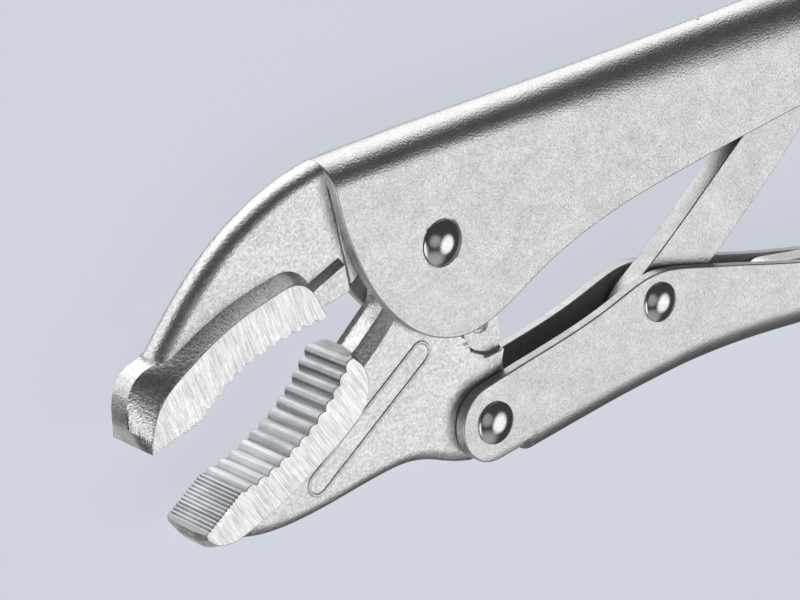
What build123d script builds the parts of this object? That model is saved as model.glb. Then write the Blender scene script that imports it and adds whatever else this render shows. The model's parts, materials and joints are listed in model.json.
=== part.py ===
from build123d import *
import os
from math import sin, cos, radians, degrees, pi, hypot, atan2

# Locking pliers with round gripping jaws, 250 mm long.
# The tool lies on its side: X runs along the tool (jaws at -X, handles at +X),
# Y is across the handles (fixed handle at +Y) and Z is the thickness.
# Everything is drawn about the main pivot (0, 0) and the mid-plane z = 0,
# then moved so that the origin is at the bottom centre of the bounding box.

# ---------------------------------------------------------------- dimensions
ORIGIN_X, ORIGIN_Y, ORIGIN_Z = 59.527, -24.705, -7.60   # pivot-frame point that becomes the origin

SHEET = 2.2            # sheet thickness of both channel handles
CHEEK = 5.25           # half width over the cheeks at the jaws
CHEEK_IN = CHEEK - SHEET
REAR_W = 7.6           # half width of the fixed handle at the screw
JAW_T = 2.85           # half thickness of the lower jaw and of the upper jaw's web
BLOCK_T = 5.85         # half width of the toothed blocks
LINK_T = 2.15          # half thickness of the toggle link
LEVER_T = 2.6          # half width of the release lever
RUN = 0.05             # radial running clearance of every pivot

O = (0.0, 0.0)                 # main pivot
A = (3.42, -36.73)             # lower jaw to lower handle
B = (44.80, -31.76)            # lower handle to toggle link
LINK_DIR = 28.4                # degrees, direction of the link from B
LINK_LEN = 72.0
S = (B[0] + LINK_LEN * cos(radians(LINK_DIR)), B[1] + LINK_LEN * sin(radians(LINK_DIR)))
P = (98.0, -50.8)              # release lever pin
RIVET_R = 3.2
PIN_R = 2.2

SCREW_DIR = -3.5               # degrees, adjusting screw axis, towards the rear
SCREW_R = 4.0
SCREW_SHANK_R = 3.0
HEEL_R = 4.6                   # rounded heel of the link
TIP_GAP = 0.9                  # opened pivot: clearance between heel and screw tip
KNOB_R, KNOB_L = 7.0, 15.5

os.makedirs("parts", exist_ok=True)


def poly(points, z0, z1):
    """Prism over a closed polygon in XY, from z0 to z1."""
    w = Wire.make_polygon([Vector(x, y, z0) for x, y in points], close=True)
    return Solid.extrude(Face(w), Vector(0, 0, z1 - z0))


def spline_pts(pts, n=10):
    """Points along a smooth curve through pts."""
    e = Edge.make_spline([Vector(x, y, 0) for x, y in pts])
    return [(e.position_at(i / (n * (len(pts) - 1))).X, e.position_at(i / (n * (len(pts) - 1))).Y)
            for i in range(n * (len(pts) - 1) + 1)]


def cyl(cx, cy, r, z0, z1):
    return Solid.make_cylinder(r, z1 - z0, Plane(origin=(cx, cy, z0), z_dir=(0, 0, 1)))


def arc(c, r, a0, a1, n):
    return [(c[0] + r * cos(radians(a0 + (a1 - a0) * i / n)), c[1] + r * sin(radians(a0 + (a1 - a0) * i / n)))
            for i in range(n + 1)]


def inward(points):
    """Unit vectors pointing into the polygon at each corner."""
    n = len(points)
    area = sum(points[i][0] * points[(i + 1) % n][1] - points[(i + 1) % n][0] * points[i][1] for i in range(n))
    sgn = 1 if area > 0 else -1
    out = []
    for i in range(n):
        p, q = points[i - 1], points[(i + 1) % n]
        d = (q[0] - p[0], q[1] - p[1])
        L = hypot(*d)
        out.append((-d[1] / L * sgn, d[0] / L * sgn))
    return out


def end_normals(points, inset):
    """inward(), but the last rounded corner before an edge that stays sharp moves square to its rounded edge."""
    nrm = inward(points)
    n = len(points)
    area = sum(points[i][0] * points[(i + 1) % n][1] - points[(i + 1) % n][0] * points[i][1] for i in range(n))
    s = 1 if area > 0 else -1
    for i in range(n):
        a, b = inset[i - 1] > 0, inset[(i + 1) % n] > 0
        if inset[i] > 0 and a != b:
            p, q = (points[i - 1], points[i]) if a else (points[i], points[(i + 1) % n])
            L = hypot(q[0] - p[0], q[1] - p[1])
            nrm[i] = (-(q[1] - p[1]) / L * s, (q[0] - p[0]) / L * s)
    return nrm


def forged(points, inset, half, rise, n=5, flat=()):
    """Plate of the given half thickness whose flank edges are drawn in: inset mm at each corner over rise mm of thickness.
    The edge is a quarter round, or a straight chamfer at the corners listed in flat."""
    nrm = end_normals(points, inset)
    levels = []
    for k in range(n + 1):
        up, ins = sin(radians(90 * k / n)), 1 - cos(radians(90 * k / n))
        levels.append((half - rise + rise * up, [(p[0] + v[0] * i * (up if p in flat else ins), p[1] + v[1] * i * (up if p in flat else ins))
                                                 for p, v, i in zip(points, nrm, inset)]))
    wires = []
    for z, pts in [(-z, pts) for z, pts in reversed(levels)] + levels:
        wires.append(Wire.make_polygon([Vector(x, y, z) for x, y in pts], close=True))
    return Solid.make_loft(wires, ruled=True)


def section(x, crest, h, w, y_open, up=1):
    """Channel section in the YZ plane at x: half an ellipse over straight sides."""
    y_flat = crest - up * h
    pl = Plane(origin=(x, y_flat, 0), x_dir=(0, 0, 1), z_dir=(1, 0, 0))
    # local x is +Z, local y is +-Y
    loc_y = pl.y_dir.Y
    a0, a1 = (0, 180) if loc_y * up > 0 else (180, 360)
    e = Edge.make_ellipse(w, h, pl, a0, a1)
    p0, p1 = e.position_at(0), e.position_at(1)
    q0, q1 = Vector(x, y_open, p0.Z), Vector(x, y_open, p1.Z)
    return Wire([e, Edge.make_line(p1, q1), Edge.make_line(q1, q0), Edge.make_line(q0, p0)])


def interp(table, x):
    """Smooth monotone curve through the rows of a table, at x."""
    n = len(table)
    xs = [r[0] for r in table]
    k = max(0, min(n - 2, sum(1 for v in xs[1:-1] if x >= v)))
    out = []
    for c in range(1, len(table[0])):
        d = [(table[i + 1][c] - table[i][c]) / (xs[i + 1] - xs[i]) for i in range(n - 1)]
        m = [d[0]] + [0.0 if d[i - 1] * d[i] <= 0 else 2 * d[i - 1] * d[i] / (d[i - 1] + d[i]) for i in range(1, n - 1)] + [d[-1]]
        h = xs[k + 1] - xs[k]
        t = (x - xs[k]) / h
        out.append((2 * t ** 3 - 3 * t ** 2 + 1) * table[k][c] + (t ** 3 - 2 * t ** 2 + t) * h * m[k] +
                   (-2 * t ** 3 + 3 * t ** 2) * table[k + 1][c] + (t ** 3 - t ** 2) * h * m[k + 1])
    return out


def channel(table, y_open, up, inner, step=7.0):
    """Skin of a folded channel along its table of sections; inner gives its inside."""
    x0, x1 = table[0][0], table[-1][0]
    n = int(round((x1 - x0) / step))
    rows = []
    for i in range(n + 1):
        x = x0 + (x1 - x0) * i / n
        c, h, w = interp(table, x)
        rows.append((x, c - up * SHEET, h - SHEET * 0.85, w - SHEET) if inner else (x, c, h, w))
    return Solid.make_loft([section(x, c, h, w, y_open, up) for x, c, h, w in rows], ruled=True)


COARSE = ((0.0, 1.0), (0.27, 0.16), (0.5, 0.0), (0.73, 0.16))      # one tooth: share of the pitch, share of the depth
FINE = ((0.0, 1.0), (0.3, 0.0), (0.7, 0.0))


def teeth(line, n, depth, side, shape):
    """Tooth outline along a crest line: n teeth, depth below it, side = +-1 (where the valleys go)."""
    pts = spline_pts(line, 12) if len(line) > 2 else line
    acc = [0.0]
    for p, q in zip(pts, pts[1:]):
        acc.append(acc[-1] + hypot(q[0] - p[0], q[1] - p[1]))

    def at(s):
        for i in range(len(acc) - 1):
            if s <= acc[i + 1] + 1e-9:
                t = (s - acc[i]) / (acc[i + 1] - acc[i])
                p, q = pts[i], pts[i + 1]
                d = (q[0] - p[0], q[1] - p[1])
                L = hypot(*d)
                return (p[0] + d[0] * t, p[1] + d[1] * t), (-d[1] / L * side, d[0] / L * side)
        return pts[-1], (0, 0)
    out = []
    pitch = acc[-1] / n
    for i in range(n):
        for f, lift in shape:
            c, nrm = at((i + f) * pitch)
            out.append((c[0] + nrm[0] * depth * lift, c[1] + nrm[1] * depth * lift))
    return out


def save(node, shape):
    shape = Pos(-ORIGIN_X, -ORIGIN_Y, -ORIGIN_Z) * shape
    shape.label = node
    export_step(shape, "parts/%s.step" % node)
    bb = shape.bounding_box()
    print("%-18s %8.1f mm3  %s %s" % (node, shape.volume, tuple(round(v, 2) for v in bb.min), tuple(round(v, 2) for v in bb.max)))
    return bb


def rivet(c, head_r, z_face, shank_r, dome=1.45, rim=0.35):
    """Riveted pin with a domed head on both faces."""
    h = dome - rim
    ball = (head_r ** 2 + h ** 2) / (2 * h)
    pin = cyl(c[0], c[1], shank_r, -z_face - 0.2, z_face + 0.2)
    for s in (1, -1):
        z0, z1 = (z_face, z_face + dome) if s > 0 else (-z_face - dome, -z_face)
        zc = s * (z_face + dome - ball)
        pin = pin + (cyl(c[0], c[1], head_r, z0, z1) & (Pos(c[0], c[1], zc) * Solid.make_sphere(ball, angle1=-90, angle2=90)))
    return pin


# ------------------------------------------------------------ fixed handle
# Folded channel, open at the bottom. (x, crest y, rounding height, half width)
BODY = [(-30, 23.2, 4.9, CHEEK), (-18, 22.2, 5.0, CHEEK), (0, 20.6, 5.2, CHEEK), (20, 18.5, 5.8, CHEEK),
        (40, 16.4, 7.0, CHEEK), (62, 14.3, 8.4, 5.35), (80, 12.7, 8.7, 5.9), (100, 11.2, 8.6, 7.0),
        (118, 10.1, 8.3, REAR_W), (160, 8.0, 8.0, REAR_W)]
body_out = channel(BODY, -40, 1, False)
body_in = channel(BODY, -45, 1, True)
front_edge = spline_pts([(-18.9, 17), (-18.8, 13), (-18.2, 8), (-17.2, 3), (-15.9, -1.5), (-13.9, -6), (-11, -10.5),
                         (-7.5, -14.2), (-3, -17), (1.5, -18.3), (6, -18.15), (10, -17.3), (16, -15.3), (23, -13.1),
                         (30, -11.6), (38, -10.5), (47, -9.9), (59, -9.6), (75, -9.3), (95, -8.9), (115, -8.6),
                         (135, -8.3), (147, -8.0)], 4)
outline = [(-18.9, 40)] + front_edge + arc((147, -3), 5.0, -90, 0, 6) + [(152, 40)]
fixed_handle = (body_out - body_in) & poly(outline, -20, 20)
fixed_handle = fixed_handle - cyl(*O, RIVET_R + 0.02, -20, 20)
for s in (1, -1):
    # shallow ring pressed in round the pivot rivet
    fixed_handle = fixed_handle - (cyl(*O, 4.55, CHEEK - 0.25, CHEEK + 1) if s > 0 else cyl(*O, 4.55, -CHEEK - 1, -CHEEK + 0.25))
# slot in the crest for the spring's rear hook
SLOT_X = 69.0
fixed_handle = fixed_handle - Solid.make_box(5.0, 12, 2.0, Plane(origin=(SLOT_X - 2.5, 6, -1.0)))

# --------------------------------------------------------------- upper jaw
top_line = spline_pts([(-18.95, 22.35), (-24, 21.9), (-28, 21.2), (-33, 19.75), (-38, 17.85), (-43, 15.3), (-48, 12.1),
                       (-53, 8.2), (-58, 3.9)], 5)
web_pts = top_line + [(-57.5, 0.8), (-45, 2.5), (-30, 2.5), (-27.6, -0.6), (-18.95, -0.2)]
web = forged(web_pts, [2.4] * (len(top_line) - 1) + [1.2] + [0] * 5, JAW_T, 2.5)
root = poly([(-18.5, 16.6), (-18.5, 0.1), (-15.5, 1.2), (-12.2, 3.8), (-9.6, 5.2), (-7.5, 7.3), (-4, 9.8), (0, 10.6),
             (9, 10.9), (11.5, 12.6), (-4, 14.6)], -CHEEK_IN + 0.05, CHEEK_IN - 0.05)
# the block's flank (z = BLOCK_T) and its wider foot on the web
u_coarse = teeth([(-26.3, -2.2), (-30, -1.95), (-35, -1.95), (-40, -2.45), (-45, -3.5), (-50, -5.7), (-54.6, -8.5)], 12, 0.7, -1, COARSE)
u_fine = teeth([(-55.0, -8.25), (-64.2, -9.5)], 13, 0.3, -1, FINE)
ub_edge = u_coarse + u_fine
ub_top = [(-64.35, -9.45), (-64.0, -7.8), (-62.3, -4.2), (-60.0, -1.6), (-55, 1.1), (-50, 3.1), (-45, 4.6), (-40, 5.6), (-35, 6.15),
          (-31.2, 6.15), (-29.4, 5.3), (-28, 3.6), (-27.1, 1.2), (-26.5, -1.0)]
ub_foot = [(-64.5, -9.3), (-65.5, -5.2), (-64.3, -0.9), (-62.0, 1.6), (-55.9, 3.4), (-50.6, 5.0), (-45.4, 6.5), (-40.2, 7.5), (-34.9, 8.05),
           (-30.6, 8.0), (-28.3, 6.8), (-26.7, 4.6), (-25.9, 1.6), (-25.6, -1.2)]
mid_foot = [(-64.5, -9.3), (-65.7, -5.2), (-64.5, -0.6), (-62.0, 2.3)] + ub_foot[4:]
JOIN = 2.2


def stack(levels):
    """Ruled solid through polygons with the same number of corners: (z, points), lowest first."""
    return Solid.make_loft([Wire.make_polygon([Vector(x, y, z) for x, y in pts], close=True) for z, pts in levels], ruled=True)


# the tang joins the web to its root inside the channel
tang = poly([(-21, 15.0), (-21, 1.0), (-17, 1.6), (-16, 2.2), (-16, 15.0)], -2.4, 2.4)
upper_jaw = web + tang + root
upper_jaw = upper_jaw + stack([(-BLOCK_T, ub_edge + ub_top), (-JOIN, ub_edge + mid_foot), (JOIN, ub_edge + mid_foot), (BLOCK_T, ub_edge + ub_top)])
# rib beside the throat, between the block and the handle's front edge
rib_wide = [(-27, -0.95), (-19.7, -0.4), (-19.7, 5.6), (-27, 3.8)]
rib_top = [(-27, -0.95), (-19.7, -0.4), (-19.7, 4.6), (-27, 2.8)]
upper_jaw = upper_jaw + stack([(-4.4, rib_top), (-2.6, rib_wide), (2.6, rib_wide), (4.4, rib_top)])

# --------------------------------------------------------------- lower jaw
back = spline_pts([(-53.0, -32.4), (-47.3, -34.9), (-42.3, -36.1), (-36, -36.7), (-29, -36.8), (-19.3, -36.8), (-14.3, -37.3),
                   (-9.3, -39.1), (-4.6, -41.8), (-1.0, -43.4)], 4)
hub_r = 9.0
l_web_pts = ([(-50, -29.5), (-52.5, -31.4)] + back + arc(A, 7.0, 240, 345, 12) +
             [(10.35, -33.0), (9.2, -29.5), (9.3, -27.4), (10.2, -25.6), (10.9, -22.5), (11.0, -19.5), (10.8, -14.5), (10.0, -8)] +
             arc(O, hub_r, -25, 185, 22) +
             [(-10.3, -4.6), (-12.0, -7.7), (-16.5, -10.48), (-21.0, -13.26), (-23.6, -14.9), (-27, -18), (-35, -23), (-45, -26.5)])
# straight chamfers along the throat, between the pivot and the toothed block
throat = {(-10.3, -4.6): 1.0, (-12.0, -7.7): 2.6, (-16.5, -10.48): 2.8, (-21.0, -13.26): 2.8, (-23.6, -14.9): 2.8}
soft = [1.7 if p in back else throat.get(p, 0.0) for p in l_web_pts]
lower_web = forged(l_web_pts, soft, JAW_T, 1.5, flat=set(throat))
for s in (1, -1):
    pocket = cyl(9.0, -19.1, 6.65, 1.4, 5) if s > 0 else cyl(9.0, -19.1, 6.65, -5, -1.4)
    lower_web = lower_web - pocket
SPRING_EYE = (7.2, -19.6)
lower_web = lower_web - cyl(*SPRING_EYE, 1.9, -5, 5)
l_coarse = teeth([(-23.7, -10.7), (-27, -13.9), (-31, -17.1), (-35, -19.4), (-40, -21.4), (-45, -22.75), (-49.4, -23.35)], 12, 0.7, 1, COARSE)
l_fine = teeth([(-50.0, -23.2), (-58.3, -27.3)], 13, 0.3, 1, FINE)
lb_edge = l_coarse + l_fine
lb_low = [(-58.5, -27.5), (-58.4, -28.6), (-57.2, -30.0), (-55.0, -31.1), (-52, -31.25), (-48, -30.5), (-43, -29.25), (-38, -27.7), (-33, -25.9),
          (-28, -23.8), (-25, -22.3), (-22.6, -20.4), (-21.4, -18.2), (-21.0, -15.6), (-21.7, -12.9), (-23.0, -11.2)]
lb_foot = [(-58.7, -27.7), (-58.8, -29.3), (-57.6, -31.2), (-54.6, -32.5), (-51.6, -32.4), (-47.6, -31.6), (-42.6, -30.3), (-37.5, -28.8), (-32.5, -27.0),
           (-27.4, -24.9), (-24.2, -23.4), (-21.4, -21.2), (-20.1, -18.5), (-19.7, -15.5), (-20.6, -12.3), (-22.3, -10.1)]
lower_jaw = lower_web + stack([(-BLOCK_T, lb_edge + lb_low), (-JOIN, lb_edge + lb_foot), (JOIN, lb_edge + lb_foot), (BLOCK_T, lb_edge + lb_low)])
# empty raised frame on the flank, a plain rim
c0, c1, fr = (-33.5, -31.3), (-7.6, -18.4), 2.25
ang = degrees(atan2(c1[1] - c0[1], c1[0] - c0[0]))


def stadium(r):
    return arc(c1, r, ang - 90, ang + 90, 14) + arc(c0, r, ang + 90, ang + 270, 14)


frame_ring = poly(stadium(fr), 0, 0.12) - poly(stadium(fr - 0.42), -1, 1)
for s in (1, -1):
    # only the part of the rim that stays outside the cheeks over the whole swing is raised
    z = JAW_T if s > 0 else -JAW_T - 0.12
    lower_jaw = lower_jaw + (Pos(0, 0, z) * frame_ring)
lower_jaw = lower_jaw - cyl(*O, RIVET_R + RUN, -20, 20) - cyl(*A, RIVET_R + RUN, -20, 20)

# ------------------------------------------------------------ lower handle
# Folded channel, open at the top. (x, crest y, rounding height, half width)
LOW = [(-10, -47.2, 5.0, CHEEK), (8, -47.3, 5.0, CHEEK), (30, -47.5, 5.1, CHEEK), (48, -48.3, 5.25, CHEEK), (60, -49.7, 5.4, CHEEK),
       (80, -53.6, 5.5, 5.5), (100, -59.0, 5.6, 5.85), (120, -64.9, 5.7, 6.3), (138, -69.8, 5.8, 6.5), (152, -72.6, 5.8, 6.5)]
low_out = channel(LOW, -10, -1, False)
low_in = channel(LOW, -5, -1, True)
top_edge = spline_pts([(4.2, -29.45), (10, -29.1), (20, -28.7), (30, -27.95), (37, -26.9), (42, -26.2), (45.5, -26.25), (50, -27.3), (56, -29.6),
                       (65, -33.2), (75, -37.3), (90, -42.9), (110, -49.6), (128, -55.4), (140, -59.3)], 4)
WEB_X = 11.2
low_outline = (arc(A, 7.25, 270, 90, 20) + top_edge + arc((142.2, -64.6), 5.6, 80, -20, 8) + [(147.9, -80), (WEB_X, -80), (WEB_X, -45.6)] +
               arc((9.75, -45.0), 1.45, -10, 150, 8) + [(8.2, -43.98)])
lower_handle = (low_out - low_in) & poly(low_outline, -20, 20)
# flat ears ahead of the channel's floor
lower_handle = lower_handle - Solid.make_box(21, 40, 2 * CHEEK_IN, Plane(origin=(-10, -60, -CHEEK_IN)))
lower_handle = lower_handle - cyl(*A, RIVET_R + 0.02, -20, 20) - cyl(*B, RIVET_R + 0.02, -20, 20) - cyl(*P, PIN_R + 0.02, -20, 20)

# -------------------------------------------------------------- toggle link
ld = (cos(radians(LINK_DIR)), sin(radians(LINK_DIR)))


def on_link(s, t):
    return (B[0] + ld[0] * s - ld[1] * t, B[1] + ld[1] * s + ld[0] * t)


link_side_top = [on_link(3, 4.45), on_link(30, 4.35), on_link(55, 4.3), on_link(LINK_LEN - 2, HEEL_R - 0.1)]
link_side_bot = [on_link(LINK_LEN - 3, -HEEL_R + 0.05), on_link(58, -5.2), on_link(44, -6.6), on_link(28, -7.4), on_link(12, -7.2)]
eye = arc(B, 6.2, LINK_DIR + 250, LINK_DIR + 135, 14)
link_pts = [on_link(6.5, -6.6)] + eye + [on_link(-1.2, 4.75)] + link_side_top + arc(S, HEEL_R, LINK_DIR + 84, LINK_DIR - 84, 16) + link_side_bot
toggle_link = poly(link_pts, -LINK_T, LINK_T) - cyl(*B, RIVET_R + RUN, -20, 20)

# ------------------------------------------------------------ release lever
lev_top = spline_pts([(72.6, -39.5), (74.6, -38.5), (78, -38.9), (84, -40.7), (92, -43.0), (100, -45.2), (112, -47.6), (124, -50.2), (136, -53.2),
                      (143.5, -54.2), (147.5, -53.6)], 4)
lev_bot = spline_pts([(148.4, -55.6), (143.5, -57.4), (136, -57.6), (124, -56.3), (112, -55.2), (104, -54.9), (97, -54.0), (90, -51.0),
                      (82, -46.0), (76, -42.4), (73.2, -41.0)], 4)
lever_pts = lev_top + lev_bot
release_lever = poly(lever_pts, -LEVER_T, LEVER_T)
# folded section: open underneath, 1.4 mm walls, closed top
in_top = [(x + 0.2, y - 1.5) for x, y in lev_top if 78 < x < 146]
hollow = poly(in_top + [(146, -70), (80, -70)], -LEVER_T + 1.4, LEVER_T - 1.4)
release_lever = release_lever - hollow - cyl(*P, PIN_R + RUN, -20, 20)

# ----------------------------------------------------- screw, knob and bush
su = (cos(radians(SCREW_DIR)), sin(radians(SCREW_DIR)))


def on_screw(d):
    return (S[0] + su[0] * d, S[1] + su[1] * d, 0)


def rod(d0, d1, r):
    return Solid.make_cylinder(r, d1 - d0, Plane(origin=on_screw(d0), z_dir=(su[0], su[1], 0)))


def cone(d0, d1, r0, r1):
    return Solid.make_cone(r0, r1, d1 - d0, Plane(origin=on_screw(d0), z_dir=(su[0], su[1], 0)))


d_tip = HEEL_R + TIP_GAP
d_knob0 = (184.4 - S[0]) / su[0] - KNOB_L
screw_spindle = (cone(d_tip, d_tip + 1.2, SCREW_R - 1.2, SCREW_R) + rod(d_tip + 1.2, d_knob0 - 0.3, SCREW_R) +
                 rod(d_knob0 - 0.4, d_knob0 + 12.0, SCREW_SHANK_R))
d_bush0, d_bush1 = (136.5 - S[0]) / su[0], (151.2 - S[0]) / su[0]
screw_bush = rod(d_bush0, d_bush1, REAR_W - SHEET - 0.02) - rod(d_bush0 - 1, d_bush1 + 1, SCREW_R + 0.07)
knob = (cone(d_knob0, d_knob0 + 1.0, KNOB_R - 1.6, KNOB_R) + rod(d_knob0 + 1.0, d_knob0 + KNOB_L - 1.2, KNOB_R) +
        cone(d_knob0 + KNOB_L - 1.2, d_knob0 + KNOB_L, KNOB_R, KNOB_R - 1.2))
knob = knob - rod(d_knob0 - 1, d_knob0 + 12.2, SCREW_SHANK_R + RUN)
N_FLUTE = 24
for i in range(N_FLUTE):
    a = 2 * pi * i / N_FLUTE
    # flutes of the knurled grip, laid round the screw axis
    off = Vector(-su[1] * cos(a), su[0] * cos(a), sin(a)) * (KNOB_R + 0.35)
    c = Vector(*on_screw(d_knob0 + 2.2)) + off
    knob = knob - Solid.make_cylinder(0.8, KNOB_L - 4.6, Plane(origin=c, z_dir=(su[0], su[1], 0)))

# ------------------------------------------------------------------- spring
# Closed-coil tension spring, drawn as the tube its coils fill, with a hook at each end.
SPR_R, WIRE = 2.7, 1.0
s0 = Vector(SPRING_EYE[0], SPRING_EYE[1], 0)
crest_y = interp(BODY, SLOT_X)[0]
s1 = Vector(SLOT_X, crest_y - SHEET - 2.2, 0)
sd = (s1 - s0).normalized()
coil0, coil1 = s0 + sd * 8.0, s1 - sd * 4.0
coil = Solid.make_cylinder(SPR_R, (coil1 - coil0).length, Plane(origin=coil0, z_dir=sd)) - \
    Solid.make_cylinder(SPR_R - WIRE, (coil1 - coil0).length, Plane(origin=coil0, z_dir=sd))


def bar(p, q, r):
    d = q - p
    return Solid.make_cylinder(r, d.length, Plane(origin=p, z_dir=d))


side = 2.05                       # the front hook runs past the lug on this side of the mid-plane
e0 = s0 + sd * 1.1
h = [coil0 + sd * 0.6, s0 + sd * 5.8, s0 + sd * 4.9 + Vector(0, 0, side), e0 + Vector(0, 0, side), e0 + Vector(0, 0, -2.0)]
hook_f = bar(h[0], h[1], WIRE / 2)
for p, q in zip(h[1:], h[2:]):
    hook_f = hook_f + bar(p, q, WIRE / 2) + (Pos(p.X, p.Y, p.Z) * Solid.make_sphere(WIRE / 2, angle1=-90, angle2=90))
hook_r = bar(coil1 - sd * 0.6, s1 + sd * 0.4, WIRE / 2) + bar(s1 + Vector(0, -0.2, 0), s1 + Vector(0, SHEET + 2.2 + 0.3, 0), WIRE / 2)
cap0 = Solid.make_cylinder(SPR_R, 0.8, Plane(origin=coil0 - sd * 0.4, z_dir=sd))
cap1 = Solid.make_cylinder(SPR_R, 0.8, Plane(origin=coil1 - sd * 0.4, z_dir=sd))
tension_spring = coil + hook_f + hook_r + cap0 + cap1

# ------------------------------------------------------------------- rivets
pivot_rivet = rivet(O, 4.1, CHEEK - 0.25, RIVET_R, 1.75)
jaw_rivet = rivet(A, 3.9, CHEEK, RIVET_R)
link_rivet = rivet(B, 3.75, CHEEK, RIVET_R)
lever_pin = rivet(P, 3.2, interp(LOW, P[0] + 3.2)[2] + 0.02, PIN_R, 0.95)

nodes = dict(fixed_handle=fixed_handle, upper_jaw=upper_jaw, lower_jaw=lower_jaw, lower_handle=lower_handle,
             toggle_link=toggle_link, release_lever=release_lever, screw_spindle=screw_spindle, screw_knob=knob,
             screw_bush=screw_bush, tension_spring=tension_spring, pivot_rivet=pivot_rivet, jaw_rivet=jaw_rivet,
             link_rivet=link_rivet, lever_pin=lever_pin)
boxes = [save(n, s) for n, s in nodes.items()]
lo = [min(getattr(b.min, k) for b in boxes) for k in "XYZ"]
hi = [max(getattr(b.max, k) for b in boxes) for k in "XYZ"]
print("whole object", [round(v, 3) for v in lo], [round(v, 3) for v in hi])
print("bottom centre in the pivot frame", round((lo[0] + hi[0]) / 2 + ORIGIN_X, 3), round((lo[1] + hi[1]) / 2 + ORIGIN_Y, 3), round(lo[2] + ORIGIN_Z, 3))
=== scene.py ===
import bpy, bmesh, json
import numpy as np
from math import sin, cos, asin, radians, degrees, pi, hypot, sqrt, atan2
from mathutils import Vector, Matrix
from mathutils.geometry import delaunay_2d_cdt

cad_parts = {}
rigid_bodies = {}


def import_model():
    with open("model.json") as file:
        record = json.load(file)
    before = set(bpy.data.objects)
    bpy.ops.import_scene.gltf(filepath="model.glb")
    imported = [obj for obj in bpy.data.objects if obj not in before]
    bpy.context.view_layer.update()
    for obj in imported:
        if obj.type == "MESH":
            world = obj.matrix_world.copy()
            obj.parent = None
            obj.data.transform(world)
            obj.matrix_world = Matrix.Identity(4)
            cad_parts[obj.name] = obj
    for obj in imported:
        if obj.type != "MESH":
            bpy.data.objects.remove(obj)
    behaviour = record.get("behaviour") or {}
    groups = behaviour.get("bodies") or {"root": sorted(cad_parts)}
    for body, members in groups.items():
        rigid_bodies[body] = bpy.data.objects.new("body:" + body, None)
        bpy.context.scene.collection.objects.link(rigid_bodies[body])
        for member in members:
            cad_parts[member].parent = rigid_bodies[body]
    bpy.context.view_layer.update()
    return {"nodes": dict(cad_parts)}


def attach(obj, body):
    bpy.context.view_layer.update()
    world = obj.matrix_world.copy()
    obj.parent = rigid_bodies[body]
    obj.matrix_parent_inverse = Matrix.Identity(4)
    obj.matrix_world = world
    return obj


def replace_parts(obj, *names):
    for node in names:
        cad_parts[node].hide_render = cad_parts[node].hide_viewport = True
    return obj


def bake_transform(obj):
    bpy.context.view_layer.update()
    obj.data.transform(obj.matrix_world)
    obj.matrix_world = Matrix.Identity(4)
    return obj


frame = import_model()
NODES = frame["nodes"]
sc = bpy.context.scene

# Everything is drawn in the pivot frame of part.py: millimetres about the main pivot, mid-plane z = 0.
OX, OY, OZ = 59.527, -24.705, -7.60
SHEET, CHEEK, REAR_W = 2.2, 5.25, 7.6
CHEEK_IN = CHEEK - SHEET
JAW_T, BLOCK_T, LINK_T = 2.85, 5.85, 2.15
O, A, B = (0.0, 0.0), (3.42, -36.73), (44.80, -31.76)
LINK_DIR, LINK_LEN = 28.4, 72.0
S = (B[0] + LINK_LEN * cos(radians(LINK_DIR)), B[1] + LINK_LEN * sin(radians(LINK_DIR)))
P = (98.0, -50.8)
SCREW_DIR, SCREW_R, SCREW_SHANK_R, HEEL_R, TIP_GAP = -3.5, 4.0, 3.0, 4.6, 0.9
KNOB_R, KNOB_L = 7.0, 15.5
SLOT_X = 69.0
BEV = 0.28             # rounding of the cut sheet edges


def W(x, y, z=0.0):
    return ((x - OX) / 1000, (y - OY) / 1000, (z - OZ) / 1000)


# ---------------------------------------------------------------- materials
def new_mat(name):
    mt = bpy.data.materials.new(name)
    mt.use_nodes = True
    nt = mt.node_tree
    nt.nodes.clear()
    out = nt.nodes.new("ShaderNodeOutputMaterial")
    bs = nt.nodes.new("ShaderNodeBsdfPrincipled")
    nt.links.new(bs.outputs[0], out.inputs[0])
    return mt, nt, bs


def noise(nt, scale, detail=3.0, rough=0.55, stretch=None, turn=0.0, kind="FBM"):
    """Noise in the object's own coordinates; stretch and turn make it run along one direction in XY."""
    tc = nt.nodes.new("ShaderNodeTexCoord")
    n = nt.nodes.new("ShaderNodeTexNoise")
    n.inputs["Scale"].default_value = scale
    n.inputs["Detail"].default_value = detail
    n.inputs["Roughness"].default_value = rough
    if stretch:
        # Mapping scales after turning: rotate the direction onto X first
        rot = nt.nodes.new("ShaderNodeVectorRotate")
        rot.rotation_type = "Z_AXIS"
        rot.inputs["Angle"].default_value = -radians(turn)
        mp = nt.nodes.new("ShaderNodeMapping")
        mp.inputs["Scale"].default_value = stretch
        nt.links.new(tc.outputs["Object"], rot.inputs["Vector"])
        nt.links.new(rot.outputs[0], mp.inputs["Vector"])
        nt.links.new(mp.outputs[0], n.inputs["Vector"])
    else:
        nt.links.new(tc.outputs["Object"], n.inputs["Vector"])
    return n


def ranged(nt, src, lo, hi, a=0.3, b=0.7):
    mr = nt.nodes.new("ShaderNodeMapRange")
    mr.inputs["From Min"].default_value = a
    mr.inputs["From Max"].default_value = b
    mr.inputs["To Min"].default_value = lo
    mr.inputs["To Max"].default_value = hi
    nt.links.new(src, mr.inputs["Value"])
    return mr.outputs["Result"]


def tint(nt, src, c0, c1, a=0.3, b=0.7):
    cr = nt.nodes.new("ShaderNodeValToRGB")
    cr.color_ramp.elements[0].position = a
    cr.color_ramp.elements[0].color = (*c0, 1)
    cr.color_ramp.elements[1].position = b
    cr.color_ramp.elements[1].color = (*c1, 1)
    nt.links.new(src, cr.inputs["Fac"])
    return cr.outputs["Color"]


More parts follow.
